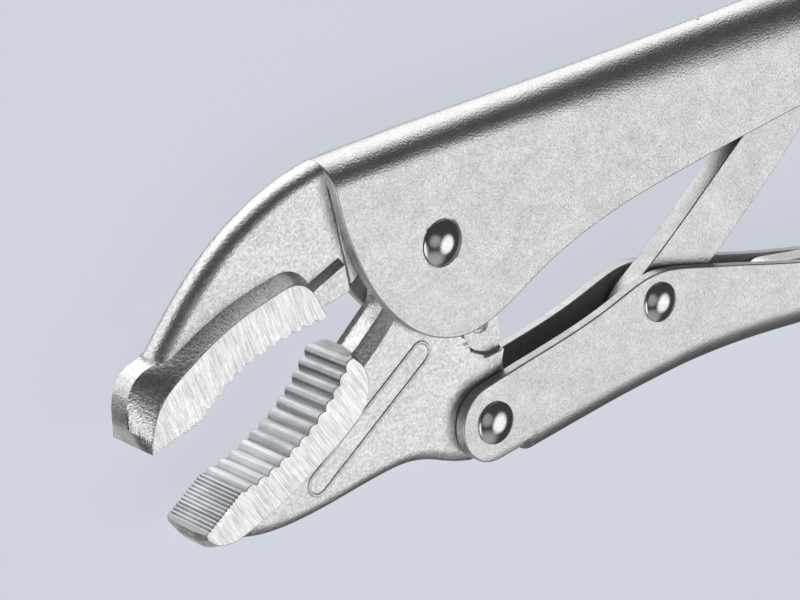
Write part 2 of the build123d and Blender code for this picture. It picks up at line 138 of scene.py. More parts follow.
def bumps(nt, bs, layers):
    """layers: (noise output, strength, distance in mm), coarsest first."""
    prev = None
    for src, strength, dist in layers:
        bp = nt.nodes.new("ShaderNodeBump")
        bp.inputs["Strength"].default_value = strength
        bp.inputs["Distance"].default_value = dist / 1000
        nt.links.new(src, bp.inputs["Height"])
        if prev:
            nt.links.new(prev, bp.inputs["Normal"])
        prev = bp.outputs["Normal"]
    nt.links.new(prev, bs.inputs["Normal"])


def times(nt, c0, c1):
    mx = nt.nodes.new("ShaderNodeMix")
    mx.data_type = "RGBA"
    mx.blend_type = "MULTIPLY"
    mx.inputs[0].default_value = 1.0
    nt.links.new(c0, mx.inputs[6])
    nt.links.new(c1, mx.inputs[7])
    return mx.outputs[2]


def satin(name, c0, c1, r0, r1, fine, coarse, brush=None, spots=None, speck=None):
    """Plated satin metal: mottled tint, uneven roughness, fine blasted grain over a coarser swell."""
    mt, nt, bs = new_mat(name)
    bs.inputs["Metallic"].default_value = 1.0
    m = noise(nt, 90, 5, 0.6)
    g = noise(nt, fine[0], 2, 0.5)
    col = tint(nt, m.outputs["Fac"], c0, c1)
    if speck:
        sp = noise(nt, speck[0], 2, 0.6)
        col = times(nt, col, tint(nt, sp.outputs["Fac"], (speck[1],) * 3, (1.0, 1.0, 1.0), 0.38, 0.62))
    if brush and len(brush) > 4:
        bn = noise(nt, 1.0, 3, 0.6, stretch=brush[1], turn=brush[0])
        col = times(nt, col, tint(nt, bn.outputs["Fac"], (brush[4],) * 3, (1.0, 1.0, 1.0), 0.36, 0.62))
    nt.links.new(col, bs.inputs["Base Color"])
    r = noise(nt, 340, 4, 0.6)
    nt.links.new(ranged(nt, r.outputs["Fac"], r0, r1), bs.inputs["Roughness"])
    ls = [(noise(nt, coarse[0], 4, 0.55).outputs["Fac"], coarse[1], coarse[2])]
    if spots:
        ls.append((noise(nt, spots[0], 3, 0.7).outputs["Fac"], spots[1], spots[2]))
    if brush:
        ls.append((noise(nt, 1.0, 3, 0.6, stretch=brush[1], turn=brush[0]).outputs["Fac"], brush[2], brush[3]))
    ls.append((g.outputs["Fac"], fine[1], fine[2]))
    bumps(nt, bs, ls)
    return mt


M_SHEET = satin("satin_sheet", (0.73, 0.73, 0.715), (0.79, 0.79, 0.775), 0.30, 0.38, (2800, 1.0, 0.09), (900, 0.25, 0.05), speck=(2600, 0.80))
M_EDGE = satin("cut_edge", (0.52, 0.52, 0.52), (0.68, 0.68, 0.67), 0.36, 0.48, (3000, 0.8, 0.05), (500, 0.5, 0.10),
               brush=(0.0, (900, 900, 160), 0.4, 0.05), speck=(3200, 0.75))
# darker, rougher sheet for the channels' inside faces and the jaw rim's walls: the darker tint is painted shade for the
# shadowed insides, the higher roughness is the finish
M_SHADED_INNER = satin("inner_sheet_painted_shade", (0.56, 0.56, 0.56), (0.68, 0.68, 0.67), 0.50, 0.62, (3000, 0.7, 0.05), (320, 0.3, 0.08), speck=(3000, 0.75))
M_FORGE = satin("forged_grain", (0.84, 0.84, 0.825), (0.92, 0.92, 0.905), 0.28, 0.36, (3000, 0.7, 0.05), (420, 0.3, 0.12), spots=(1500, 0.8, 0.12), speck=(1700, 0.74))
M_GROUND_U = satin("ground_flank_upper", (0.84, 0.84, 0.83), (0.91, 0.91, 0.90), 0.26, 0.36, (3600, 0.4, 0.03), (300, 0.1, 0.05),
                   brush=(8.0, (4200, 260, 260), 1.0, 0.06, 0.66))
M_GROUND_L = satin("ground_flank_lower", (0.84, 0.84, 0.83), (0.91, 0.91, 0.90), 0.26, 0.36, (3600, 0.4, 0.03), (300, 0.1, 0.05),
                   brush=(22.0, (4200, 260, 260), 1.0, 0.06, 0.66))
M_TEETH = satin("cut_teeth", (0.50, 0.51, 0.52), (0.66, 0.67, 0.68), 0.34, 0.46, (3000, 0.6, 0.04), (420, 0.3, 0.08),
                brush=(0.0, (900, 900, 60), 0.6, 0.05, 0.7))
M_LINK = satin("satin_link", (0.66, 0.66, 0.65), (0.76, 0.76, 0.75), 0.30, 0.38, (3000, 0.9, 0.06), (700, 0.3, 0.05), speck=(2600, 0.78))
M_SCREW = satin("satin_screw", (0.72, 0.72, 0.71), (0.82, 0.82, 0.81), 0.24, 0.34, (3000, 0.4, 0.03), (420, 0.2, 0.05), speck=(3000, 0.8))
M_WIRE = satin("spring_steel", (0.46, 0.46, 0.46), (0.58, 0.58, 0.57), 0.26, 0.36, (3200, 0.3, 0.02), (700, 0.2, 0.03), speck=(3000, 0.75))
M_RIVET = satin("polished_head", (0.60, 0.60, 0.60), (0.68, 0.68, 0.68), 0.10, 0.16, (2600, 0.12, 0.01), (300, 0.1, 0.02), speck=(1500, 0.88))


# ------------------------------------------------------------------ shapes
def spline(pts, n):
    """Smooth curve through pts, n pieces to each span."""
    Q = np.array(pts, float)
    d = np.r_[0, np.cumsum(np.linalg.norm(np.diff(Q, axis=0), axis=1))]
    N, h = len(Q), np.diff(d)
    M, b = np.eye(N), np.zeros((N, 2))
    for i in range(1, N - 1):
        M[i, i - 1:i + 2] = h[i - 1], 2 * (h[i - 1] + h[i]), h[i]
        b[i] = 6 * ((Q[i + 1] - Q[i]) / h[i] - (Q[i] - Q[i - 1]) / h[i - 1])
    s = np.linalg.solve(M, b)
    out = []
    for i in range(N - 1):
        for k in range(n + (i == N - 2)):
            t = h[i] * k / n
            u = h[i] - t
            p = (s[i] * u ** 3 + s[i + 1] * t ** 3) / (6 * h[i]) + (Q[i] / h[i] - s[i] * h[i] / 6) * u + (Q[i + 1] / h[i] - s[i + 1] * h[i] / 6) * t
            out.append((float(p[0]), float(p[1])))
    return out


def arc(c, r, a0, a1, n):
    return [(c[0] + r * cos(radians(a0 + (a1 - a0) * i / n)), c[1] + r * sin(radians(a0 + (a1 - a0) * i / n))) for i in range(n + 1)]


def inward(points):
    n = len(points)
    area = sum(points[i][0] * points[(i + 1) % n][1] - points[(i + 1) % n][0] * points[i][1] for i in range(n))
    sgn = 1 if area > 0 else -1
    out = []
    for i in range(n):
        p, q = points[i - 1], points[(i + 1) % n]
        d = (q[0] - p[0], q[1] - p[1])
        L = hypot(*d) or 1.0
        out.append((-d[1] / L * sgn, d[0] / L * sgn))
    return out


def interp(table, x):
    n = len(table)
    xs = [r[0] for r in table]
    k = max(0, min(n - 2, sum(1 for v in xs[1:-1] if x >= v)))
    out = []
    for c in range(1, len(table[0])):
        d = [(table[i + 1][c] - table[i][c]) / (xs[i + 1] - xs[i]) for i in range(n - 1)]
        mm = [d[0]] + [0.0 if d[i - 1] * d[i] <= 0 else 2 * d[i - 1] * d[i] / (d[i - 1] + d[i]) for i in range(1, n - 1)] + [d[-1]]
        h = xs[k + 1] - xs[k]
        t = (x - xs[k]) / h
        out.append((2 * t ** 3 - 3 * t ** 2 + 1) * table[k][c] + (t ** 3 - 2 * t ** 2 + t) * h * mm[k] +
                   (-2 * t ** 3 + 3 * t ** 2) * table[k + 1][c] + (t ** 3 - t ** 2) * h * mm[k + 1])
    return out


def make(name, verts, faces, mats, fmat=None, angle=35, weighted=True):
    """Mesh piece from pivot-frame millimetres."""
    me = bpy.data.meshes.new(name)
    me.from_pydata([W(*v) for v in verts], [], faces)
    bm = bmesh.new()
    bm.from_mesh(me)
    for f, i in zip(bm.faces, fmat or [0] * len(faces)):
        f.material_index = i
    bmesh.ops.remove_doubles(bm, verts=bm.verts, dist=2e-6)
    bmesh.ops.dissolve_degenerate(bm, edges=bm.edges, dist=1e-7)
    bmesh.ops.recalc_face_normals(bm, faces=bm.faces)
    bm.to_mesh(me)
    bm.free()
    for m_ in mats:
        me.materials.append(m_)
    ob = bpy.data.objects.new(name, me)
    sc.collection.objects.link(ob)
    smooth(ob, angle, weighted)
    return ob


def smooth(ob, angle=35, weighted=True):
    ob.data.shade_smooth()
    ob.data.set_sharp_from_angle(angle=radians(angle))
    if weighted:
        wn = ob.modifiers.new("wn", "WEIGHTED_NORMAL")
        wn.keep_sharp = True
        wn.weight = 80


def bake(ob):
    dg = bpy.context.evaluated_depsgraph_get()
    me = bpy.data.meshes.new_from_object(ob.evaluated_get(dg))
    ob.modifiers.clear()
    ob.data = me


def cut(ob, *cutters, op="DIFFERENCE"):
    """Cuts the cutters out of ob and bakes the result."""
    for mo in list(ob.modifiers):
        ob.modifiers.remove(mo)
    for c in cutters:
        mo = ob.modifiers.new("cut", "BOOLEAN")
        mo.operation = op
        mo.solver = "EXACT"
        mo.object = c
    bpy.context.view_layer.update()
    bake(ob)
    for c in cutters:
        me = c.data
        bpy.data.objects.remove(c)
        bpy.data.meshes.remove(me)


def levels_mesh(levels, cap_mat=0, side_mat=0, side_pick=None, cells=0.0):
    """Verts, faces and face materials of a stack of polygons with equal corner counts: (z, points).
    With cells the flat ends are filled with even triangles of about that size."""
    n = len(levels[0][1])
    V, F, M = [], [], []
    for z, pts in levels:
        V += [(x, y, z) for x, y in pts]
    for k in range(len(levels) - 1):
        for i in range(n):
            j = (i + 1) % n
            F.append((k * n + i, k * n + j, (k + 1) * n + j, (k + 1) * n + i))
            M.append(side_pick(k, i) if side_pick else side_mat)
    if not cells:
        F.append(tuple(range(n)))
        F.append(tuple(range((len(levels) - 1) * n, len(levels) * n)))
        M += [cap_mat, cap_mat]
        return V, F, M
    for z, pts in (levels[0], levels[-1]):
        Q = np.array(pts)
        grid = []
        for gx in np.arange(Q[:, 0].min() + 0.37, Q[:, 0].max(), cells):
            for gy in np.arange(Q[:, 1].min() + 0.41, Q[:, 1].max(), cells):
                # keep grid points well inside the outline
                inside = False
                for i in range(n):
                    (x1, y1), (x2, y2) = pts[i], pts[(i + 1) % n]
                    if (y1 > gy) != (y2 > gy) and gx < (x2 - x1) * (gy - y1) / (y2 - y1) + x1:
                        inside = not inside
                if inside and np.hypot(Q[:, 0] - gx, Q[:, 1] - gy).min() > cells * 0.4:
                    grid.append(Vector((gx, gy)))
        vs, _, fs, _, _, _ = delaunay_2d_cdt([Vector(p) for p in pts] + grid, [], [list(range(n))], 1, 1e-5)
        base = len(V)
        V += [(p.x, p.y, z) for p in vs]
        for f in fs:
            F.append(tuple(base + i for i in f))
            M.append(cap_mat)
    return V, F, M


def shrunk(pts, d):
    """Polygon drawn in by d (a number or one per corner)."""
    nr = inward(pts)
    dd = d if isinstance(d, list) else [d] * len(pts)
    return [(p[0] + v[0] * k, p[1] + v[1] * k) for p, v, k in zip(pts, nr, dd)]


def soft_levels(pts, half, inset, rise, n=3):
    """Levels of a plate of the given half thickness with quarter-round edges: inset mm in, rise mm up."""
    ins = inset if isinstance(inset, list) else [inset] * len(pts)
    up = []
    for k in range(n + 1):
        a = radians(90 * k / n)
        up.append((half - rise + rise * sin(a), shrunk(pts, [i * (1 - cos(a)) for i in ins])))
    return [(-z, p) for z, p in reversed(up)] + up


def prism(name, pts, half, mats, bev=0.25, n=3, side_mat=0):
    V, F, M = levels_mesh(soft_levels(pts, half, bev, bev, n), 0, side_mat)
    return make(name, V, F, mats, M)


def lathe(name, origin, axis, prof, mats, seg=64, angle=35, fmat=None, wob=None):
    """Turned shape: prof = [(distance along axis, radius)], closed with fans at both ends. wob(d, a) scales the radius."""
    ax = Vector(axis).normalized()
    u = ax.orthogonal().normalized()
    v = ax.cross(u)
    o = Vector(origin)
    V, F, M = [], [], []
    for k, (d, r) in enumerate(prof):
        for i in range(seg):
            a = 2 * pi * i / seg
            rr = r * (wob(d, a) if wob else 1.0)
            q = o + ax * d + (u * cos(a) + v * sin(a)) * rr
            V.append(tuple(q))
    for k in range(len(prof) - 1):
        for i in range(seg):
            j = (i + 1) % seg
            F.append((k * seg + i, k * seg + j, (k + 1) * seg + j, (k + 1) * seg + i))
            M.append(fmat(k) if fmat else 0)
    for k in (0, len(prof) - 1):
        F.append(tuple(k * seg + i for i in range(seg)))
        M.append(fmat(min(k, len(prof) - 2)) if fmat else 0)
    return make(name, V, F, mats, M, angle)


def tube(name, path, r, mats, seg=8, angle=80):
    """Round wire along a 3-D path."""
    pts = [Vector(p) for p in path]
    V, F = [], []
    t = (pts[1] - pts[0]).normalized()
    u = t.orthogonal().normalized()
    for k, p in enumerate(pts):
        t2 = (pts[min(k + 1, len(pts) - 1)] - pts[max(k - 1, 0)]).normalized()
        u = (u - t2 * u.dot(t2)).normalized()
        v = t2.cross(u)
        for i in range(seg):
            a = 2 * pi * i / seg
            V.append(tuple(p + (u * cos(a) + v * sin(a)) * r))
    for k in range(len(pts) - 1):
        for i in range(seg):
            j = (i + 1) % seg
            F.append((k * seg + i, k * seg + j, (k + 1) * seg + j, (k + 1) * seg + i))
    F.append(tuple(range(seg)))
    F.append(tuple(range((len(pts) - 1) * seg, len(pts) * seg)))
    return make(name, V, F, mats, None, angle, weighted=False)


def put(ob, body, slot, *nodes):
    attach(ob, body)
    if nodes:
        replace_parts(ob, *nodes)
    return ob


# ----------------------------------------------------------- folded handles
BODY = [(-30, 23.2, 4.9, CHEEK), (-18, 22.2, 5.0, CHEEK), (0, 20.6, 5.2, CHEEK), (20, 18.5, 5.8, CHEEK),
        (40, 16.4, 7.0, CHEEK), (62, 14.3, 8.4, 5.35), (80, 12.7, 8.7, 5.9), (100, 11.2, 8.6, 7.0),
        (118, 10.1, 8.3, REAR_W), (160, 8.0, 8.0, REAR_W)]
LOW = [(-10, -47.2, 5.0, CHEEK), (8, -47.3, 5.0, CHEEK), (30, -47.5, 5.1, CHEEK), (48, -48.3, 5.25, CHEEK), (60, -49.7, 5.4, CHEEK),
       (80, -53.6, 5.5, 5.5), (100, -59.0, 5.6, 5.85), (120, -64.9, 5.7, 6.3), (138, -69.8, 5.8, 6.5), (152, -72.6, 5.8, 6.5)]


def along(pts, step):
    """Points every step mm along a polyline, ends kept."""
    Q = np.array(pts, float)
    d = np.r_[0, np.cumsum(np.linalg.norm(np.diff(Q, axis=0), axis=1))]
    n = max(2, int(round(d[-1] / step)))
    s = np.linspace(0, d[-1], n + 1)
    return [(float(np.interp(v, d, Q[:, 0])), float(np.interp(v, d, Q[:, 1]))) for v in s]


def normals(pts, side):
    out = []
    for i in range(len(pts)):
        p, q = pts[max(0, i - 1)], pts[min(len(pts) - 1, i + 1)]
        L = hypot(q[0] - p[0], q[1] - p[1])
        out.append((-(q[1] - p[1]) / L * side, (q[0] - p[0]) / L * side))
    return out


def sheet_section(table, x, up, inner):
    """(y of the flat's end, half width, rounding height) of the skin at x."""
    c, h, w = interp(table, x)
    if inner:
        c, w = c - up * SHEET, w - SHEET
        h = (h - SHEET * 0.85) if up > 0 else 1.15 + 0.35 * (h - 5.0)
    return c - up * h, w, h


class Shell:
    """Collects the faces of a folded sheet: points are (x, y, z) and the other side is the mirror in z."""

    def __init__(self):
        self.V, self.F, self.M, self.ids = [], [], [], {}

    def v(self, p):
        key = tuple(round(c, 5) for c in p)
        if key not in self.ids:
            self.ids[key] = len(self.V)
            self.V.append(key)
        return self.ids[key]

    def quad(self, pts, mat=0, both=True):
        for s in ((1, -1) if both else (1,)):
            ids = []
            for p in pts:
                i = self.v((p[0], p[1], p[2] * s))
                if i not in ids:
                    ids.append(i)
            if len(ids) > 2:
                self.F.append(tuple(ids if s > 0 else ids[::-1]))
                self.M.append(mat)

    def grid(self, rows, mat=0, both=True):
        for r0, r1 in zip(rows, rows[1:]):
            for a, b, c, d in zip(r0, r0[1:], r1[1:], r1):
                self.quad((a, b, c, d), mat, both)


def rim_steps(p, q, w_out, w_in):
    """Across a cut edge from the outer skin to the inner one: rounded corners of BEV."""
    n = (q[0] - p[0], q[1] - p[1])
    out = []
    for k in range(4):
        a = radians(30 * k)
        out.append((p[0] + n[0] * (1 - sin(a)), p[1] + n[1] * (1 - sin(a)), w_out - BEV * (1 - cos(a))))
    for k in range(4):
        a = radians(90 - 30 * k)
        out.append((p[0] + n[0] * (1 - sin(a)), p[1] + n[1] * (1 - sin(a)), w_in + BEV * (1 - cos(a))))
    return out


def skin_rows(table, up, x, y0, inner, n_flat, n_arc, t_end=90.0, t0=0.0):
    """Points of half a section at x from the rim at y0 to the angle t_end on the rounding."""
    yf, w, h = sheet_section(table, x, up, inner)
    rows = []
    if (yf - y0) * up > 0.05:
        for k in range(n_flat):
            rows.append((x, y0 + (yf - y0) * k / n_flat, w))
        a0 = t0
    else:
        a0 = degrees(asin(min(0.999, max(0.0, (y0 - yf) * up / h))))
        for k in range(n_flat):
            a = radians(a0 + 0.02 * k)
            rows.append((x, yf + up * h * sin(a), w * cos(a)))
        a0 += 0.02 * n_flat
    for k in range(n_arc + 1):
        a = radians(a0 + (t_end - a0) * k / n_arc)
        rows.append((x, yf + up * h * sin(a), w * cos(a)))
    return rows


def end_loops(sec_out, sec_in, x, up, s):
    """Rounded end of the sheet at x: loops from the outer skin over the cut face to the inner skin. s = +-1 points out of the metal."""
    def off(row, d):
        # move the section's points along their normals in the YZ plane
        out = []
        for i, p in enumerate(row):
            a, b = row[max(0, i - 1)], row[min(len(row) - 1, i + 1)]
            t = (b[1] - a[1], b[2] - a[2])
            L = hypot(*t) or 1
            n = (-t[1] / L * up, t[0] / L * up)
            if i in (0,) and abs(n[0]) < 0.2:
                n = (0.0, 1.0 if n[1] > 0 else -1.0)
            if i == len(row) - 1:
                n = (up * 1.0 if n[0] * up > 0 else -up * 1.0, 0.0)
            out.append((n, d))
        return out
    loops = []
    for k in range(4):
        a = radians(30 * k)
        loops.append([(x + s * BEV * sin(a), p[1] - n[0] * BEV * (1 - cos(a)), p[2] - n[1] * BEV * (1 - cos(a)))
                      for p, (n, _) in zip(sec_out, off(sec_out, 1))])
    for k in range(4):
        a = radians(90 - 30 * k)
        loops.append([(x + s * BEV * sin(a), p[1] + n[0] * BEV * (1 - cos(a)), p[2] + n[1] * BEV * (1 - cos(a)))
                      for p, (n, _) in zip(sec_in, off(sec_in, 1))])
    return loops


def fixed_handle_mesh():
    front = spline([(-18.9, 17), (-18.8, 13), (-18.2, 8), (-17.2, 3), (-15.9, -1.5), (-13.9, -6), (-11, -10.5),
                    (-7.5, -14.2), (-3, -17), (1.5, -18.3), (6, -18.15), (10, -17.3), (16, -15.3), (23, -13.1),
                    (30, -11.6), (38, -10.5), (47, -9.9), (59, -9.6), (75, -9.3), (95, -8.9), (115, -8.6),
                    (135, -8.3), (147, -8.0)], 8)
    line = along(front, 1.2) + arc((147, -3), 5.0, -90, 0, 10)[1:]
    nr = normals(line, 1)
    nr[0], nr[-1] = (1.0, 0.0), (-1.0, 0.0)
    sh = Shell()
    outs, ins, rims = [], [], []
    for p, n in zip(line, nr):
        q = (p[0] + n[0] * BEV, p[1] + n[1] * BEV)
        ro = skin_rows(BODY, 1, q[0], q[1], False, 14, 22)
        ri = skin_rows(BODY, 1, q[0], q[1], True, 14, 22)
        outs.append(ro)
        ins.append(ri)
        rims.append(rim_steps(p, q, ro[0][2], ri[0][2]))
    sh.grid(outs, 0)
    sh.grid(ins, 2)
    sh.grid(rims, 1)
    for k, s in ((0, -1), (-1, 1)):
        lo = end_loops(outs[k], ins[k], outs[k][0][0], 1, s)
        # the first points of the loops are the rim's own
        lo = [[r] + l[1:] for r, l in zip(rims[k], lo)]
        sh.grid(lo, 1)
    return sh


def lower_handle_mesh():
    top = spline([(4.2, -29.45), (10, -29.1), (20, -28.7), (30, -27.95), (37, -26.9), (42, -26.2), (45.5, -26.25), (50, -27.3), (56, -29.6),
                  (65, -33.2), (75, -37.3), (90, -42.9), (110, -49.6), (128, -55.4), (140, -59.3)], 8)
    R0, nc, nr_, w = 7.25, (9.75, -45.0), 1.45, CHEEK
    tx, ty = np.array([p[0] for p in top]), np.array([p[1] for p in top])
    st = []                                    # (top point, its inward normal, bottom point, its inward normal)
    for k in range(19):
        a = radians(90 * k / 18)
        st.append(((A[0] - R0 * cos(a), A[1] + R0 * sin(a)), (cos(a), -sin(a)), (A[0] - R0 * cos(a), A[1] - R0 * sin(a)), (cos(a), sin(a))))

    def at_top(x):
        y = float(np.interp(x, tx, ty)) if x > 4.2 else -29.48 + 0.03 * (x - 3.42) / 0.78
        d = (float(np.interp(x + 0.4, tx, ty)) - float(np.interp(x - 0.4, tx, ty))) / 0.8 if x > 4.7 else 0.03
        L = hypot(1, d)
        return (x, y), (d / L, -1 / L)
    for x in (4.2, 5.2, 6.2, 7.2, 7.9):
        p, n = at_top(x)
        st.append((p, n, (x, -43.98), (0.0, 1.0)))
    for k in range(0, 13):
        a = radians(150 - 150 * k / 12)
        pb, nb = (nc[0] + nr_ * cos(a), nc[1] + nr_ * sin(a)), (cos(a), sin(a))
        xq = pb[0] + nb[0] * BEV
        p, n = at_top(xq)
        st.append(((xq - n[0] * BEV, p[1]), n, pb, nb))
    n_ear = len(st)
    sh = Shell()
    NF, NA = 10, 8
    outs, ins, rt, rb = [], [], [], []
    for pt, nt_, pb, nb in st:
        qt = (pt[0] + nt_[0] * BEV, pt[1] + nt_[1] * BEV)
        qb = (pb[0] + nb[0] * BEV, pb[1] + nb[1] * BEV)
        x = qb[0]
        yf, w0, h = sheet_section(LOW, x, -1, False)
        ym = max(yf, qb[1] + 0.25 * (qt[1] - qb[1]))
        row = [(x, qt[1] + (ym - qt[1]) * k / NF, w0) for k in range(NF)]
        te = asin(min(1.0, max(0.0, (yf - qb[1]) / h)))
        for k in range(NA + 1):
            if qb[1] < yf - 0.05 and ym == yf:
                t = te * k / NA
                row.append((x, yf - h * sin(t), w0 * cos(t)))
            else:
                y = ym + (qb[1] - ym) * k / NA
                t = asin(min(1.0, max(0.0, (yf - y) / h)))
                row.append((x, y, w0 * cos(t)))
        outs.append(row)
        ins.append([(p[0], p[1], CHEEK_IN) for p in row])
        rt.append(rim_steps(pt, (x, qt[1]), row[0][2], CHEEK_IN))
        rb.append(rim_steps(pb, qb, row[-1][2], CHEEK_IN))
    sh.grid(outs, 0)
    sh.grid(ins, 2)
    sh.grid(rt, 1)
    sh.grid(rb, 1)
    # the channel behind the notch
    x0 = outs[-1][0][0]
    ysplit = outs[-1][-1][1]
    yf, w0, h = sheet_section(LOW, x0, -1, False)
    t_out = degrees(asin((yf - ysplit) / h))
    yfi, wi, hi = sheet_section(LOW, x0, -1, True)
    t_in = degrees(asin(min(0.98, (yfi - ysplit) / hi)))
    line = [p for p in top if p[0] > x0 + 0.4]
    line = along([st[-1][0]] + line, 1.4)[1:]
    line += arc((142.2, -64.6), 5.6, 78, 0, 12)
    nn = normals(line, -1)
    nn[-1] = (-1.0, 0.0)
    o2, i2, r2, oB, iB = [outs[-1]], [], [rt[-1]], [], []
    xs = [(st[-1][0], st[-1][1])] + list(zip(line, nn))
    for k, (p, n) in enumerate(xs):
        q = (p[0] + n[0] * BEV, p[1] + n[1] * BEV)
        if k == 0:
            q = (x0, outs[-1][0][1])
        row = skin_rows(LOW, -1, q[0], q[1], False, NF, NA, t_out)
        rin = skin_rows(LOW, -1, q[0], q[1], True, NF, NA, t_in)
        if k > 0:
            o2.append(row)
            r2.append(rim_steps(p, q, row[0][2], rin[0][2]))
        i2.append(rin)
        yo, wo_, ho = sheet_section(LOW, q[0], -1, False)
        yi, wi_, hi_ = sheet_section(LOW, q[0], -1, True)
        oB.append([(q[0], yo - ho * sin(radians(t_out + (90 - t_out) * j / 14)), wo_ * cos(radians(t_out + (90 - t_out) * j / 14))) for j in range(15)])
        iB.append([(q[0], yi - hi_ * sin(radians(t_in + (90 - t_in) * j / 14)), wi_ * cos(radians(t_in + (90 - t_in) * j / 14))) for j in range(15)])
    o2[0] = outs[-1]
    oB[0][0] = outs[-1][-1]
    sh.grid(o2, 0)
    sh.grid(i2, 2)
    sh.grid(r2, 1)
    sh.grid(oB, 0)
    sh.grid(iB, 2)
    for a, b, c, d in zip(ins[-1], ins[-1][1:], i2[0][1:], i2[0]):
        sh.quad((a, b, c, d), 2)
    # front of the channel floor, and the sheet's rear end
    lo = end_loops(oB[0], iB[0], oB[0][0][0], -1, -1)
    lo = [[r] + l[1:] for r, l in zip(rb[-1], lo)] + []
    sh.grid(lo, 1)
    for a, b in zip(lo[-1][:1], lo[-1][1:2]):
        sh.quad((ins[-1][-1], i2[0][-1], b), 2)
    full_o, full_i = o2[-1] + oB[-1][1:], i2[-1] + iB[-1][1:]
    lo = end_loops(full_o, full_i, full_o[0][0], -1, 1)
    lo = [[r] + l[1:] for r, l in zip(r2[-1], lo)]
    sh.grid(lo, 1)
    return sh


sh = fixed_handle_mesh()
# material slot 2 is the inner skin, tinted darker as painted shade inside the channel
handle = make("fixed_handle_skin", sh.V, sh.F, [M_SHEET, M_EDGE, M_SHADED_INNER], sh.M, 40)
ring = lathe("c1", (0, 0, 0), (0, 0, 1), [(CHEEK - 0.25, 4.22), (CHEEK - 0.06, 4.24), (CHEEK + 0.0, 4.32), (CHEEK + 0.5, 4.8)], [M_EDGE])
ring2 = lathe("c2", (0, 0, 0), (0, 0, -1), [(CHEEK - 0.25, 4.22), (CHEEK - 0.06, 4.24), (CHEEK + 0.0, 4.32), (CHEEK + 0.5, 4.8)], [M_EDGE])
slot = prism("c3", [(SLOT_X - 2.5, -1.0), (SLOT_X + 2.5, -1.0), (SLOT_X + 2.5, 1.0), (SLOT_X - 2.5, 1.0)], 6.0, [M_EDGE], 0.05)
for v in slot.data.vertices:
    # stand the slot cutter up along Y, through the crest
    x, y, z = v.co.x, v.co.y, v.co.z
    lx, ly, lz = x * 1000 + OX, y * 1000 + OY, z * 1000 + OZ
    v.co = W(lx, 12 + lz, ly)
cut(handle, ring, ring2, slot)
smooth(handle, 40)
put(handle, "fixed_handle", "plated_sheet", "fixed_handle")

sh = lower_handle_mesh()
# material slot 2 is the inner skin, tinted darker as painted shade inside the channel
lower = make("lower_handle_skin", sh.V, sh.F, [M_SHEET, M_EDGE, M_SHADED_INNER], sh.M, 40)
put(lower, "lower_handle", "plated_sheet", "lower_handle")

# ------------------------------------------------------------------- jaws


COARSE = ((0.0, 1.0), (0.07, 0.72), (0.27, 0.16), (0.38, 0.03), (0.5, 0.0), (0.62, 0.03), (0.73, 0.16), (0.93, 0.72))
FINE = ((0.0, 1.0), (0.28, 0.05), (0.38, 0.0), (0.62, 0.0), (0.72, 0.05))


def teeth(line, n, depth, side, shape):
    pts = spline(line, 12) if len(line) > 2 else line
    Q = np.array(pts, float)
    d = np.r_[0, np.cumsum(np.linalg.norm(np.diff(Q, axis=0), axis=1))]

    def at(s):
        i = min(len(pts) - 2, max(0, int(np.searchsorted(d, s) - 1)))
        t = (s - d[i]) / (d[i + 1] - d[i])
        p, q = pts[i], pts[i + 1]
        L = hypot(q[0] - p[0], q[1] - p[1])
        return (p[0] + (q[0] - p[0]) * t, p[1] + (q[1] - p[1]) * t), (-(q[1] - p[1]) / L * side, (q[0] - p[0]) / L * side)
    out = []
    pitch = d[-1] / n
    for i in range(n):
        for f, lift in shape:
            c, nn = at((i + f) * pitch)
            out.append((c[0] + nn[0] * depth * lift, c[1] + nn[1] * depth * lift))
    return out


def forged(points, inset, half, rise, n=9, flat=()):
    """Levels of a forged plate: quarter-round edges, or straight chamfers at the corners listed in flat."""
    nr = inward(points)
    m = len(points)
    area = sum(points[i][0] * points[(i + 1) % m][1] - points[(i + 1) % m][0] * points[i][1] for i in range(m))
    sg = 1 if area > 0 else -1
    for i in range(m):
        a, b = inset[i - 1] > 0, inset[(i + 1) % m] > 0
        if inset[i] > 0 and a != b:
            p, q = (points[i - 1], points[i]) if a else (points[i], points[(i + 1) % m])
            L = hypot(q[0] - p[0], q[1] - p[1])
            nr[i] = (-(q[1] - p[1]) / L * sg, (q[0] - p[0]) / L * sg)
    ups = []
    for k in range(n + 1):
        u, w = sin(radians(90 * k / n)), 1 - cos(radians(90 * k / n))
        # the chamfer takes the last 1.25 mm
        z = half - rise + rise * u
        c = max(0.0, (z - half + 1.25) / 1.25)
        ups.append((z, [(p[0] + v[0] * i * (c if p in flat else w), p[1] + v[1] * i * (c if p in flat else w))
                        for p, v, i in zip(points, nr, inset)]))
    downs = []
    for (z, pts), k in zip(ups, range(n + 1)):
        # on the far flank the chamfered stretch keeps its forging lip
        w = 1 - cos(radians(90 * k / n))
        lip = max(0.0, (z - half + 0.7) / 0.7) * 0.6
        downs.append((-z, [(p[0] - v[0] * lip, p[1] - v[1] * lip) if p in flat else (p[0] + v[0] * i * w, p[1] + v[1] * i * w)
                           for p, v, i in zip(points, nr, inset)]))
    return downs[::-1] + ups


